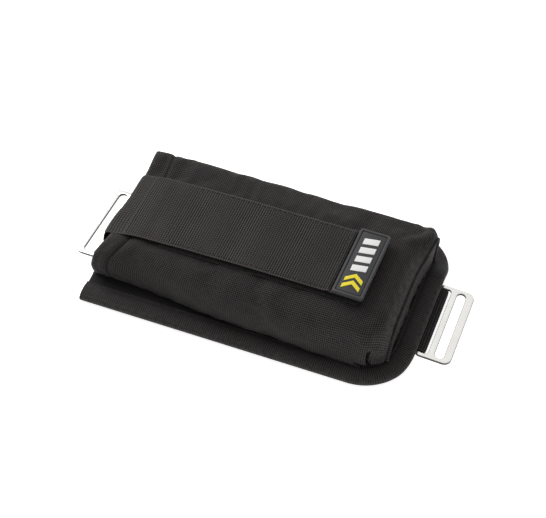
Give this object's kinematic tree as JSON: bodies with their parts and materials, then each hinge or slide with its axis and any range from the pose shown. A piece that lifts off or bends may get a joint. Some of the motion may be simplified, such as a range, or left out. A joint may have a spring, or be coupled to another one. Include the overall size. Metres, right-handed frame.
{
  "type": "dive weight pocket",
  "caption": "Soft weight pocket for a diver's belt: padded panel, stuffed pouch closed by a webbing strap with a rubber tab, and a steel three-bar slide at each end.",
  "frame": {"origin": "halfway between the slides' outer ends, in the middle of the base panel's width, on the surface that its bound edges rest on", "axes": "+X along the belt from the open mouth to the closed end, +Y across the belt towards the pouch's upright wall, +Z out from the diver's body"},
  "size_m": [0.2454, 0.122, 0.0433],
  "materials": {
    "cordura": "black coated nylon cloth, matte",
    "webbing": "black ribbed nylon webbing",
    "tape": "black ribbed binding tape",
    "foam": "closed-cell foam padding",
    "hook_loop": "black hook and loop tape",
    "steel": "polished stainless steel",
    "rubber": "moulded soft PVC, matte",
    "lead": "coated lead"
  },
  "bodies": {
    "root": {"base_back_panel": "cordura", "base_foam": "foam", "base_top_panel": "cordura", "edge_binding": "tape", "pouch_shell": "cordura", "pouch_end_panel": "cordura", "mouth_hem": "cordura", "end_piping": "tape", "loop_patch": "hook_loop", "back_webbing": "webbing", "left_webbing_tail": "webbing", "right_webbing_tail": "webbing", "strap_anchor": "webbing"},
    "riser": {"strap_riser": "webbing"},
    "strap": {"strap_inner": "webbing", "hook_patch_inner": "hook_loop"},
    "strap_end": {"strap_outer": "webbing", "hook_patch_outer": "hook_loop", "pull_tab": "rubber"},
    "left_end": {"left_loop": "webbing", "left_slide": "steel"},
    "right_end": {"right_loop": "webbing", "right_slide": "steel"},
    "weights": {"lead_weight_1": "lead", "lead_weight_2": "lead", "lead_weight_3": "lead"}
  },
  "joints": [
    {"name": "strap_lift", "type": "hinge", "parent": "root", "child": "riser", "pos_m": [-0.1044, 0, 0.01165], "axis": [0, -1, 0], "range_deg": [0, 40]},
    {"name": "strap_peel", "type": "hinge", "parent": "riser", "child": "strap", "pos_m": [-0.09805, 0, 0.02956], "axis": [0, -1, 0], "range_deg": [0, 100]},
    {"name": "strap_curl", "type": "hinge", "parent": "strap", "child": "strap_end", "pos_m": [-0.0165, 0, 0.03821], "axis": [0, -1, 0], "range_deg": [0, 90]},
    {"name": "left_slide_swing", "type": "hinge", "parent": "root", "child": "left_end", "pos_m": [-0.1052, 0, 0.0055], "axis": [0, 1, 0], "range_deg": [0, 45]},
    {"name": "right_slide_swing", "type": "hinge", "parent": "root", "child": "right_end", "pos_m": [0.1022, 0, 0.0055], "axis": [0, -1, 0], "range_deg": [0, 75]},
    {"name": "weights_slide", "type": "slide", "parent": "root", "child": "weights", "axis": [-1, 0, 0], "range_m": [0, 0.036]}
  ]
}
